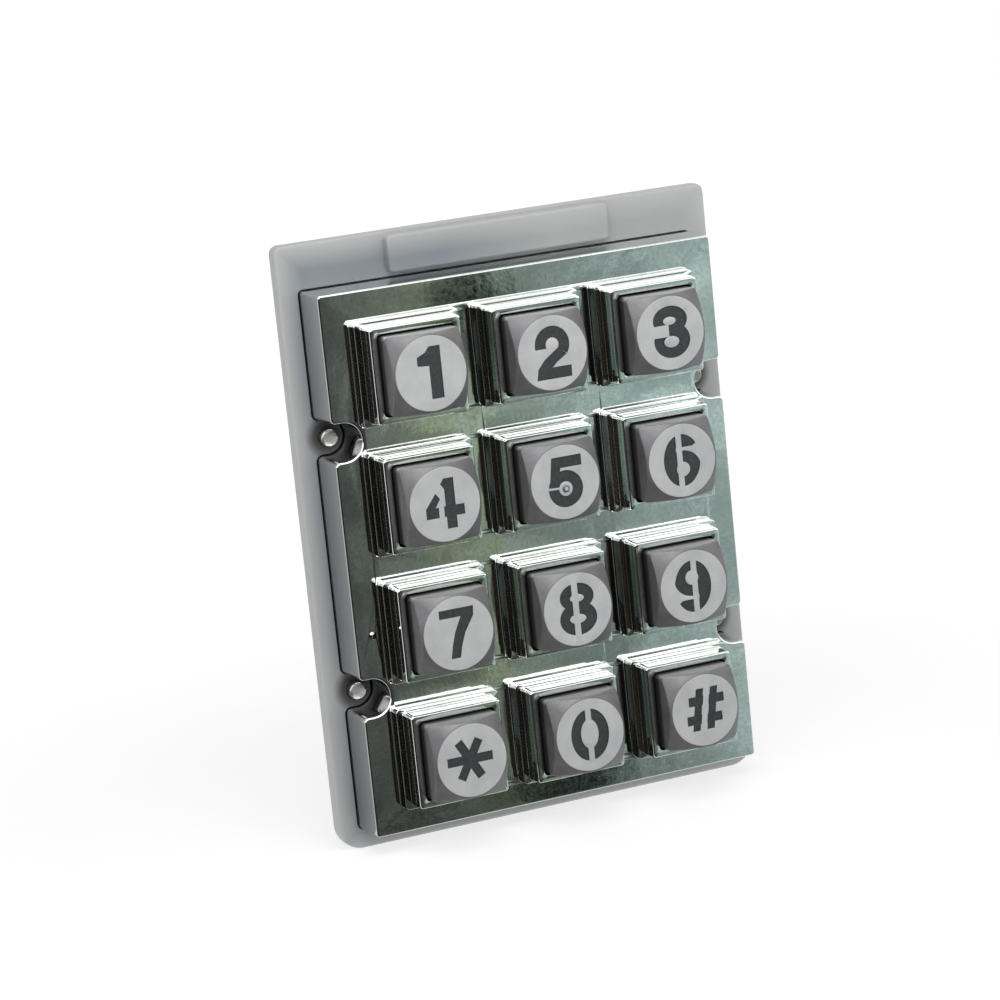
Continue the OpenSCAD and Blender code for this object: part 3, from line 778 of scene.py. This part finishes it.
def build_plate():
    """Plate with its raised pad, the recess that the frame stands in, its window, and the studs' bores."""
    shell = Shell()
    mid_z = (PLATE_LOW.z + PLATE_HIGH.z) / 2
    half_w, half_h = (PLATE_HIGH.x - PLATE_LOW.x) / 2, (PLATE_HIGH.z - PLATE_LOW.z) / 2
    edge_r, low_corner_r, high_corner_r = 0.45, 4.0, 1.4

    def outline(inset):
        radii = [r - inset for r in (low_corner_r, high_corner_r, high_corner_r, low_corner_r)]
        return rounded_rect(0, mid_z, half_w - inset, half_h - inset, radii, 12)

    sides = [shell.ring(outline(edge_r * (1 - s)), PLATE_FACE + edge_r * (1 - c)) for s, c in quarter(4)]
    sides += [shell.ring(outline(edge_r * (1 - c)), PLATE_HIGH.y - edge_r * (1 - s)) for s, c in quarter(3)]
    shell.loft(sides)
    pad_half_w, pad_low, pad_high, pad_h, pad_edge = 18.8, 43.6, 49.5, 1.8, 0.4
    pad_mid, pad_half_h = (pad_low + pad_high) / 2, (pad_high - pad_low) / 2
    pad_corner_r, pad_foot_r, pad_draft = 0.9, 0.2, 0.1

    def pad_ring(inset, y):
        half_wide, half_high = pad_half_w - inset, pad_half_h - inset
        return shell.ring(rounded_rect(0, pad_mid, half_wide, half_high, pad_corner_r - inset), y)

    pad_face = PLATE_FACE - pad_h
    pad = [pad_ring(-pad_foot_r * (1 - s), PLATE_FACE - pad_foot_r * (1 - c)) for s, c in quarter(3)]
    pad += [pad_ring(pad_draft + pad_edge * (1 - c), pad_face + pad_edge * (1 - s)) for s, c in quarter(4)]
    shell.loft(pad)
    shell.fill(pad[-1])
    lip = 0.12
    recess = [shell.ring(frame_outline(-FRAME_GAP - lip * (1 - s)), PLATE_FACE + lip * (1 - c))
              for s, c in quarter(3)]
    recess.append(shell.ring(frame_outline(-FRAME_GAP), RECESS_FLOOR))
    shell.loft(recess)
    island = [shell.ring(cavity_outline(FRAME_GAP), y) for y in (RECESS_FLOOR, PLATE_FACE)]
    shell.loft(island)
    shell.fill(recess[-1], island[0])
    window_half_w, window_half_h, window_r = 26.3, 35.5, 2
    window = rounded_rect(0, 0, window_half_w, window_half_h, window_r)
    hole = [shell.ring(window, y) for y in (PLATE_FACE, SEAT_FLOOR)]
    shell.loft(hole)
    seat_gap, seat_r = 0.1, 3.1
    seat_outline = rounded_rect(0, 0, COVER_HIGH.x + seat_gap, COVER_HIGH.z + seat_gap, seat_r)
    seat = [shell.ring(seat_outline, y) for y in (SEAT_FLOOR, PLATE_HIGH.y)]
    shell.loft(seat)
    front, inner, floor, back = [], [hole[0]], [hole[1]], [seat[1]]
    screw_bore_r = 1.35
    for x, z in frame_spots()[-4:]:
        bore = [shell.ring(circle(x, z, screw_bore_r), y) for y in (PLATE_FACE, SEAT_FLOOR)]
        shell.loft(bore)
        inner.append(bore[0])
        floor.append(bore[1])
    mouth_r, mouth_edge, slack = STUD_R - 0.07, 0.08, 0.03
    pocket = [(mouth_r, SHOULDER_FRONT - slack), (SHOULDER_R + slack, SHOULDER_FRONT - slack),
              (SHOULDER_R + slack, SHOULDER_BACK + slack), (GRIP_R + slack, SHOULDER_BACK + slack),
              (GRIP_R + slack, PLATE_HIGH.y)]
    for x in (-STUD_X, STUD_X):
        for z in (-STUD_Z, STUD_Z):
            bore = []
            for s, c in quarter(2):
                mouth = circle(x, z, mouth_r + mouth_edge * (1 - s))
                bore.append(shell.ring(mouth, PLATE_FACE + mouth_edge * (1 - c)))
            bore += [shell.ring(circle(x, z, r), y) for r, y in pocket]
            shell.loft(bore)
            front.append(bore[0])
            back.append(bore[-1])
    shell.fill(sides[0], recess[0], pad[0], *front)
    shell.fill(island[1], *inner)
    shell.fill(seat[0], *floor)
    shell.fill(sides[-1], *back)
    make_object("plate", shell, "housing", ["base_plate"], "milky_plastic")


# ---------------------------------------------------------------- studs

def build_studs():
    """Four studs: a nose in front, a shoulder and a grip held in the plate, and a rolled M3 thread behind."""
    pitch, thread_depth, groove_slope = 0.5, 0.3, 3.2
    turn_steps, rows_per_turn = 24, 6
    nose_r, nose_edge, thread_r, tip_r = STUD_R - 0.1, 0.3, STUD_R - 0.02, STUD_R - 0.35
    tip_h, fade_h = 0.5, 0.4
    front, end = STUD_LOW.y, STUD_HIGH.y
    shell = Shell()
    for x in (-STUD_X, STUD_X):
        for z in (-STUD_Z, STUD_Z):

            def ring(r, y):
                return shell.ring(circle(x, z, r, turn_steps), y)

            nose = [ring(nose_r - nose_edge * (1 - s), front + nose_edge * (1 - c)) for s, c in quarter(3)]
            held = [ring(nose_r, SHOULDER_FRONT), ring(SHOULDER_R, SHOULDER_FRONT),
                    ring(SHOULDER_R, SHOULDER_BACK), ring(GRIP_R, SHOULDER_BACK), ring(GRIP_R, 0),
                    ring(thread_r, 0)]
            shell.fill(nose[0])
            shell.loft(nose + held)
            last = held[-1]
            rows = int((end - tip_h) / (pitch / rows_per_turn))
            for row in range(1, rows + 1):
                y = row * pitch / rows_per_turn
                fade = max(0.0, min(1, y / pitch, (end - fade_h - y) / pitch))
                loop = []
                for i in range(turn_steps):
                    phase = (y / pitch - i / turn_steps) % 1
                    groove = max(0.0, 1 - abs(phase - 0.5) * groove_slope) * fade
                    turn = 2 * math.pi * i / turn_steps
                    r = thread_r - thread_depth * groove
                    loop.append((x + r * math.cos(turn), z + r * math.sin(turn)))
                this = shell.ring(loop, y)
                shell.loft([last, this])
                last = this
            tip = ring(tip_r, end)
            shell.loft([last, tip])
            shell.fill(tip)
    make_object("studs", shell, "housing", ["mounting_studs"], "stud_steel", 40)


# ---------------------------------------------------------------- keymat

def build_mat():
    """Silicone sheet, with a dome and its carbon pill under each key."""
    low, high = node_box("dome_mat")
    pill_low, pill_high = node_box("contact_pills")
    half_w, half_h, corner_r = (high.x - low.x) / 2, (high.z - low.z) / 2, 1.5
    sheet_behind_pill, top_before_pill = 1.0, 1.2
    sheet_front = pill_low.y + sheet_behind_pill
    foot = (sheet_front + high.y) / 2
    top = pill_low.y - top_before_pill
    hole_r, dome_r, plunger_r, wall = 5.0, 3.2, 2.6, 0.25
    dome_edge, dome_lap, boss_gap = 0.15, 0.4, 0.4
    pill_r, pill_rim_r, pill_edge = 1.8, 1.7, 0.1
    window_w, window_h, window_r, led_drop = 2.4, 1.6, 0.2, 7.2
    outlines = [rounded_rect(0, 0, half_w, half_h, corner_r)]
    outlines += [circle(x, z, BOSS_R + boss_gap) for x, z in frame_spots()[:6]]
    for name in KEYS:
        cx, cz = key_centre(name)
        outlines.append(circle(cx, cz, hole_r, 48))
        led_z = cz - math.copysign(led_drop, cz)
        outlines.append(rounded_rect(cx, led_z, window_w / 2, window_h / 2, window_r))
    sheet = Shell()
    walls = [[sheet.ring(loop, y) for y in (sheet_front, high.y)] for loop in outlines]
    for wall_rings in walls:
        sheet.loft(wall_rings)
    sheet.fill(*[rings[0] for rings in walls])
    sheet.fill(*[rings[1] for rings in walls])
    make_object("mat_sheet", sheet, "housing", ["dome_mat"], "silicone")
    dome_profile = [(plunger_r - dome_edge, low.y), (plunger_r, low.y + dome_edge), (plunger_r, top),
                    (dome_r - dome_edge, top), (dome_r, top + dome_edge), (hole_r + dome_lap, foot),
                    (hole_r, foot), (dome_r - wall, pill_low.y)]
    pill_profile = [(pill_rim_r, pill_low.y), (pill_r, pill_low.y + pill_edge),
                    (pill_r, pill_high.y - pill_edge), (pill_rim_r, pill_high.y)]
    for name in KEYS:
        cx, cz = key_centre(name)
        for kind, profile, node, slot in (("dome", dome_profile, "dome_mat", "silicone"),
                                          ("pill", pill_profile, "contact_pills", "carbon_pill")):
            shell = Shell()
            rings = [shell.ring(circle(cx, cz, r, 48), y) for r, y in profile]
            shell.loft(rings)
            shell.fill(rings[0])
            shell.fill(rings[-1])
            piece = make_object(f"{kind}_{name}", shell, "housing", [node], slot)
            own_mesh(piece)


# ---------------------------------------------------------------- CAD nodes that stay

def dress_nodes():
    """Welds and rounds the CAD nodes that still show and gives each its material."""
    slots = {row["node"]: row["material_slot"] for row in frame["record"]["subparts"]}
    rounded = {
        "rear_cover": 0.35, "connector_housing": 0.15, "smoothing_capacitor": 0.15, "controller_chip": 0.12,
        "cover_screws": 0.12, "pcb_screws": 0.12, "connector_pins": 0.08, "circuit_board": 0.08}
    for name, node in frame["nodes"].items():
        if node.hide_render:
            continue
        node.data.materials.clear()
        node.data.materials.append(MATERIALS[slots[name]])
        weld = node.modifiers.new("Weld", "WELD")
        weld.merge_threshold = 1e-6
        if name in rounded:
            bevel = node.modifiers.new("Edges", "BEVEL")
            bevel.width = rounded[name] * MM
            bevel.segments = 3
            bevel.limit_method = "ANGLE"
            bevel.angle_limit = math.radians(35)
            bevel.harden_normals = True


# ---------------------------------------------------------------- camera, light and floor

def add_camera():
    """Camera to the left of the keypad and above it, rolled a little, on a long lens."""
    yaw, pitch, roll = (math.radians(turn) for turn in (-22.69, 11.22, -5.86))
    distance, shift_x, shift_z = 531.8, -10.96, 7.01
    back = Vector((math.sin(yaw) * math.cos(pitch), -math.cos(yaw) * math.cos(pitch), math.sin(pitch)))
    right = Vector((math.cos(yaw), math.sin(yaw), 0))
    up = back.cross(right)
    level_right, level_up = right, up
    right = level_right * math.cos(roll) + level_up * math.sin(roll)
    up = level_up * math.cos(roll) - level_right * math.sin(roll)
    place = Vector((0, KEY_FACE, 0)) + back * distance + right * shift_x + up * shift_z
    data = bpy.data.cameras.new("camera")
    data.sensor_width = 36
    data.lens = 125.2
    camera = bpy.data.objects.new("camera", data)
    turn = Matrix((right, up, back)).transposed()
    camera.matrix_world = Matrix.Translation(place * MM) @ turn.to_4x4()
    bpy.context.scene.collection.objects.link(camera)
    bpy.context.scene.camera = camera


def add_light(name, place, target, size, power):
    """White rectangular lamp at place that shines at target."""
    data = bpy.data.lights.new(name, "AREA")
    data.shape = "RECTANGLE"
    data.size, data.size_y = size
    data.energy = power
    light = bpy.data.objects.new(name, data)
    place, target = Vector(place), Vector(target)
    aim = (target - place).to_track_quat("-Z", "Y").to_matrix().to_4x4()
    light.matrix_world = Matrix.Translation(place) @ aim
    bpy.context.scene.collection.objects.link(light)


class Studio(Nodes):
    """The room that the chrome reflects, painted over view directions."""

    def __init__(self):
        world = bpy.data.worlds.new("studio")
        bpy.context.scene.world = world
        world.use_nodes = True
        tree = world.node_tree
        tree.nodes.clear()
        super().__init__(tree, tree.nodes.new("ShaderNodeTexCoord").outputs["Generated"])
        way = self.axes(self.place)
        self.x, self.y, self.z = (way[axis] for axis in "XYZ")

    def span(self, source, low, high, stops):
        """Colour against source from low to high, with each stop given at its own value of source."""
        shares = [((spot - low) / (high - low), colour) for spot, colour in stops]
        return self.ramp(self.map(source, low, high, 0, 1), shares)

    def blot(self, x, z, wide, high, low):
        """1 away from a dark object in the room at direction (x, z), and low at its middle."""
        across = self.maths("DIVIDE", self.maths("SUBTRACT", self.x, x), wide)
        up = self.maths("DIVIDE", self.maths("SUBTRACT", self.z, z), high)
        far = self.maths("ADD", self.maths("MULTIPLY", across, across), self.maths("MULTIPLY", up, up))
        return self.span(far, 0, 2, [(0.25, low), (1.6, 1.0)])


def add_world():
    """White studio above and behind; low in front a grey-green room that is darker to the left."""
    w = Studio()
    room = w.span(w.x, 0.28, 0.55, [
        (0.29, (0.045, 0.047, 0.042)), (0.338, (0.078, 0.088, 0.080)), (0.354, (0.125, 0.142, 0.128)),
        (0.367, (0.21, 0.255, 0.16)), (0.377, (0.18, 0.22, 0.19)), (0.401, (0.195, 0.245, 0.23)),
        (0.417, (0.255, 0.325, 0.31)), (0.428, (0.315, 0.40, 0.385)), (0.46, (0.38, 0.47, 0.45))])
    rows = w.span(w.z, -0.31, -0.11, [(-0.30, 0.95), (-0.272, 0.95), (-0.240, 0.92), (-0.204, 0.95),
                                      (-0.168, 1.2), (-0.145, 0.95), (-0.12, 0.9)])
    room = w.mix(1.0, room, rows, "MULTIPLY")
    for patches in (w.noise(34, 3, 0.5, (1, 1, 1.6)), w.noise(170, 3, 0.5, (1, 1, 1.3))):
        room = w.mix(1.0, room, w.span(patches, 0, 1, [(0.36, 0.6), (0.5, 1.0), (0.64, 1.5)]), "MULTIPLY")
    for blot in (w.blot(0.377, -0.134, 0.012, 0.016, 0.02), w.blot(0.380, -0.281, 0.026, 0.013, 0.03),
                 w.blot(0.34, -0.292, 0.03, 0.006, 0.15), w.blot(0.42, -0.279, 0.026, 0.002, 0.15)):
        room = w.mix(1.0, room, blot, "MULTIPLY")
    corner = w.span(w.x, -0.5, 0.3, [
        (-0.48, (0.022, 0.022, 0.02)), (-0.41, (0.010, 0.011, 0.010)), (-0.31, (0.006, 0.006, 0.006)),
        (-0.27, (0.04, 0.029, 0.021)), (-0.23, (0.007, 0.007, 0.007)), (0.0, (0.012, 0.013, 0.011)),
        (0.16, (0.05, 0.052, 0.045)), (0.28, (0.045, 0.047, 0.042))])
    room = w.mix(w.span(w.x, 0.2, 0.32, [(0.26, 0.0), (0.30, 1.0)]), corner, room)
    above = w.span(w.z, -0.1, 0.12, [(-0.04, 0.0), (0.08, 1.0)])
    softbox = w.span(w.z, 0, 1, [(0.15, 1.75), (0.35, 1.5), (0.6, 0.9)])
    front = w.mix(above, room, softbox)
    behind = w.span(w.y, -0.3, 0.25, [(-0.2, 0.0), (0.2, 1.0)])
    studio = w.mix(behind, front, (0.95, 0.95, 0.95))
    path = w.tree.nodes.new("ShaderNodeLightPath")
    diffuse = w.mix(1.0, studio, (0.36, 0.36, 0.36), "MULTIPLY")
    seen = w.mix(path.outputs["Is Diffuse Ray"], studio, diffuse)
    seen = w.mix(path.outputs["Is Camera Ray"], seen, (1.0, 1.0, 1.0))
    background = w.tree.nodes.new("ShaderNodeBackground")
    output = w.tree.nodes.new("ShaderNodeOutputWorld")
    w.put(seen, background.inputs["Color"])
    w.put(background.outputs[0], output.inputs[0])


def add_floor():
    """A pale round floor under the plate's lower edge, which fades into the white of the studio."""
    fade_starts, fade_ends = 0.09, 0.2
    shell = Shell()
    rings = [shell.ring(circle(0, 0, r, 64), 0) for r in (20, 300, 900)]
    shell.loft(rings)
    shell.fill(rings[0])
    mesh = bpy.data.meshes.new("floor")
    base = PLATE_LOW.z * MM
    mesh.from_pydata([(x * MM, z * MM, base) for x, _, z in shell.points], [], shell.faces)
    n = Finish("floor_paint")
    length = n.tree.nodes.new("ShaderNodeVectorMath")
    length.operation = "LENGTH"
    n.put(n.place, length.inputs[0])
    far = n.map(length.outputs["Value"], fade_starts, fade_ends, 0, 1)
    paint = n.ramp(n.noise(25, 3), [(0.3, (0.93, 0.93, 0.93)), (0.7, (0.96, 0.96, 0.96))])
    n.shader.inputs["Emission Color"].default_value = (1, 1, 1, 1)
    n.put(n.map(far, 0, 1, 0.7, 1), n.shader.inputs["Emission Strength"])
    n.give(n.mix(n.map(far, 0, 1, 0.6, 1), paint, (0.0, 0.0, 0.0)), n.map(n.noise(300), 0, 1, 0.7, 0.9))
    mesh.materials.append(n.material)
    floor = bpy.data.objects.new("floor", mesh)
    floor.visible_glossy = False
    bpy.context.scene.collection.objects.link(floor)


add_camera()
build_bezel()
for key in KEYS:
    build_legend(key, build_cap(key))
build_plate()
build_studs()
build_mat()
dress_nodes()
add_world()
add_floor()
add_light("key_softbox", (-0.05, -0.17, 0.20), (0, -0.02, 0), (0.2, 0.2), 0.4)

scene = bpy.context.scene
scene.view_settings.view_transform = "Standard"
scene.view_settings.look = "None"
